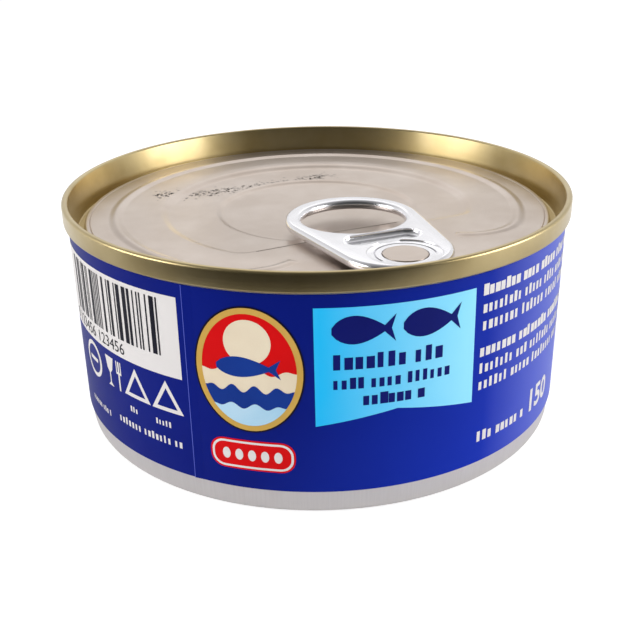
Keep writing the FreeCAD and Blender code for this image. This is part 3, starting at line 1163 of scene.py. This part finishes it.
def small_print():
    """White print: the panel behind the bars, lines of plain blocks, and handling marks."""
    white = Ink("white_print", 1, seed=3)
    white.box(*BAR_PANEL)
    for low, high, weight in TEXT_ROWS:
        white.words(TEXT_LEFT + white.dice.uniform(0, 0.3), TEXT_RIGHT, low, high, weight)
    for line in SMALL_LINES:
        white.words(*line)
    for centre in TRIANGLE_CENTRES:
        outer = flat_points([(centre - 3.1, 14.6), (centre + 3.1, 14.6), (centre, 19.9)])
        inner = flat_points([(centre - 2.0, 15.25), (centre + 2.0, 15.25), (centre, 18.6)])
        white.band(outer, inner)
    white.band(oval(*RING_MARK, 3.2, 3.2, 32), oval(*RING_MARK, 2.5, 2.5, 32))
    white.box(*RING_BAR)
    white.fill(flat_points(GLASS))
    for tine in FORK:
        white.box(*tine)
    white.number("150", 38.7, 7.7, 5.6, 0.16)
    return white


def lap_edge():
    """The pale cut edge of the paper at its lap."""
    edge = Ink("lap_edge", 1)
    edge.box(LAP_EDGE - LAP_EDGE_LEFT, LAP_EDGE + LAP_EDGE_RIGHT, LABEL_BOTTOM, LABEL_TOP)
    edge.depth = -PAPER - 0.5 * PRINT_LAYER
    return edge


def bar_marks():
    """Plain upright bars of mixed widths over a row of figures; they carry no code."""
    black = Ink("bar_marks", 2, seed=11)
    x = BARS_LEFT
    while x < BARS_LAST:
        width = black.dice.choice(BAR_WIDTHS)
        black.box(x, min(x + width, BARS_RIGHT), BAR_LOW, BAR_HIGH)
        x += width + black.dice.choice(BAR_WIDTHS)
    black.number("0 123456 123456", -52.4, 21.5, 2.75)
    return black


def front_panel():
    """Pale blue panel with a kinked lower edge."""
    pale = Ink("pale_panel", 1)
    pale.fill(flat_points(PALE_PANEL))
    return pale


def panel_print():
    """Two plain fish and three lines of blocks on the pale panel."""
    navy = Ink("navy_print", 2, seed=5)
    for centre in PANEL_FISH_CENTRES:
        navy.fill(fish_outline(centre, *PANEL_FISH))
    for line in PANEL_LINES:
        navy.words(*line)
    return navy


def medal_oval(shrink, steps=64):
    x, z, half_width, half_height = MEDAL
    return oval(x, z, half_width - shrink, half_height - shrink, steps)


def medal():
    """A pale sun in a red sky over a fish and two swells, in a gold rim, and the pill below."""
    x, z, half_width, half_height = MEDAL
    inside = (half_width - MEDAL_RIM, half_height - MEDAL_RIM)
    dark = Ink("outline_print", 2)
    dark.band(medal_oval(-MEDAL_OUTLINE), medal_oval(0))
    gold = Ink("gold_print", 2)
    gold.band(medal_oval(0), medal_oval(MEDAL_RIM))
    red = Ink("red_print", 1)
    red.fill(medal_oval(MEDAL_RIM - 0.1))
    red.fill(pill(*PILL_BACK))
    cream = Ink("cream_print", 2)
    cream.fill(oval(x, SUN_Z, SUN_RADIUS, SUN_RADIUS, 40))
    cream.fill(swell_band(x, z, *inside, *SAND_SWELL))
    deep = Ink("sea_print", 3)
    deep.fill(swell_band(x, z, *inside, *SEA_SWELL))
    deep.fill(fish_outline(x, *MEDAL_FISH))
    foam = Ink("foam_print", 4)
    foam.fill(swell_band(x, z, *inside, *FOAM_SWELL))
    line = Ink("white_rim_print", 2)
    line.band(*(pill(*edges) for edges in PILL_LINE))
    for step in range(PILL_DOTS):
        line.fill(oval(PILL_DOT_START + PILL_DOT_PITCH * step, *PILL_DOT, 20))
    return dark, gold, red, cream, deep, foam, line


# ---------------------------------------------------------------- stage

class Sky(Finish):
    """The world's nodes, worked the same way as a finish."""

    def __init__(self, world):
        world.use_nodes = True
        self.tree = world.node_tree
        self.tree.nodes.clear()
        self.output = self.tree.nodes.new("ShaderNodeOutputWorld")


def backdrop_and_light():
    """White to the camera, dark in front and pale behind to shiny surfaces, and four softboxes."""
    world = bpy.data.worlds.new("studio")
    bpy.context.scene.world = world
    sky = Sky(world)
    x, y, z = sky.axes(sky.place())
    behind = sky.ramp(y * 0.5 + 0.5, *SKY_AROUND)
    above = sky.ramp(z, *SKY_UP)
    gloss = sky.node("ShaderNodeBackground", None, behind * above, 1.0)
    soft = sky.node("ShaderNodeBackground", None, (0.97, 0.97, 0.98, 1), AMBIENT)
    white = sky.node("ShaderNodeBackground", None, (1, 1, 1, 1), 1.0)
    lit = sky.node("ShaderNodeMixShader", None, sky.path("Is Glossy Ray"), soft, gloss)
    seen = sky.node("ShaderNodeMixShader", None, sky.path("Is Camera Ray"), lit, white)
    sky.tree.links.new(seen.socket, sky.output.inputs["Surface"])

    deselect()
    bpy.ops.mesh.primitive_plane_add(size=3, location=(0, 0, -0.0001))
    floor = bpy.context.active_object
    floor.name = "floor"
    made = Finish("pale_floor", Roughness=0.9, Base_Color=(0.92, 0.92, 0.92, 1))
    glow = made.node("ShaderNodeEmission", None, (1, 1, 1, 1), FLOOR_WHITE)
    camera_ray = made.path("Is Camera Ray")
    glossy_ray = made.path("Is Glossy Ray")
    x, y, z = made.axes(made.place())
    ahead = made.ramp(y * -FLOOR_REACH - x * FLOOR_LEAN, *FLOOR_AHEAD)
    dark = made.node("ShaderNodeBsdfDiffuse", None, (0.015, 0.015, 0.015, 1))
    pale = Value(made, made.shader.outputs[0])
    mirrored = made.node("ShaderNodeMixShader", None, glossy_ray * ahead, pale, dark)
    beyond = made.ramp(y * FLOOR_REACH, *FLOOR_BEYOND)
    white_share = camera_ray * FLOOR_SHARE + glossy_ray * beyond
    shown = made.node("ShaderNodeMixShader", None, white_share, mirrored, glow)
    made.tree.links.new(shown.socket, made.output.inputs["Surface"])
    floor.data.materials.append(made.material)
    for name, place, size, power in SOFTBOXES:
        lamp = bpy.data.lights.new(name, "AREA")
        lamp.size = size
        lamp.energy = power
        holder = bpy.data.objects.new(name, lamp)
        bpy.context.scene.collection.objects.link(holder)
        holder.visible_glossy = name != "front_softbox"
        holder.location = place
        aim = LIGHT_AIM - Vector(place)
        holder.rotation_euler = aim.to_track_quat("-Z", "Y").to_euler()


def camera():
    """Looks down on the can from the front."""
    lens = bpy.data.cameras.new("camera")
    lens.sensor_width = 36.0
    lens.lens = CAMERA_LENS
    holder = bpy.data.objects.new("camera", lens)
    bpy.context.scene.collection.objects.link(holder)
    turn = Vector(CAMERA_AIM).to_track_quat("-Z", "Y") @ Quaternion((0, 0, 1), CAMERA_ROLL)
    holder.location = Vector(CAMERA_PLACE) * MM
    holder.rotation_mode = "QUATERNION"
    holder.rotation_quaternion = turn
    bpy.context.scene.camera = holder


camera()
backdrop_and_light()
finish(can_shell_mesh(), drawn_steel(), stands_for=["can_body"])
LACQUER = lacquered_lid()
finish(lid_shell(), LACQUER, stands_for=["lid"])
finish(panel_bead(), LACQUER)
finish(rivet(), LACQUER)
CODE_INK = coated_print("code_ink", srgb(168, 158, 150), srgb(186, 175, 166))
finish(ink_dots(), CODE_INK)
# Dark brown painted shade for the strips along the step edges of the well and the dish
CREASE_SHADE = coated_print("crease_shade", srgb(104, 82, 62), srgb(84, 66, 52))
finish(painted_shade_lines(), CREASE_SHADE)
finish(ring_pull(), polished_tab(), stands_for=["ring_pull"])
finish(paper_label(), blue_label_and_painted_sheen(), stands_for=["label"])
WHITE = coated_print("white_ink", srgb(230, 226, 224), srgb(222, 218, 216))
NAVY = coated_print("navy_ink", srgb(12, 22, 110), srgb(8, 16, 92))
small_print().wrap(WHITE)
lap_edge().wrap(coated_print("cut_paper", srgb(96, 112, 206), srgb(70, 84, 190)))
bar_marks().wrap(coated_print("black_ink", srgb(16, 16, 26), srgb(30, 30, 44)))
PALE_BLUE = coated_print("pale_blue_ink", srgb(6, 190, 252), srgb(150, 228, 255), fade=0.023)
front_panel().wrap(PALE_BLUE, twice=True)
panel_print().wrap(NAVY, twice=True)
MEDAL_INKS = (
    coated_print("outline_ink", srgb(14, 12, 30), srgb(26, 20, 44)),
    coated_print("gold_ink", srgb(216, 178, 92), srgb(190, 146, 62)),
    coated_print("red_ink", srgb(222, 6, 10), srgb(205, 2, 8)),
    coated_print("cream_ink", srgb(240, 226, 200), srgb(222, 204, 176)),
    coated_print("sea_ink", srgb(20, 60, 150), srgb(14, 44, 124)),
    coated_print("foam_ink", srgb(150, 205, 235), srgb(206, 230, 244)),
    WHITE,
)
for ink, material in zip(medal(), MEDAL_INKS):
    ink.wrap(material, twice=True)

bpy.context.scene.view_settings.view_transform = "Standard"
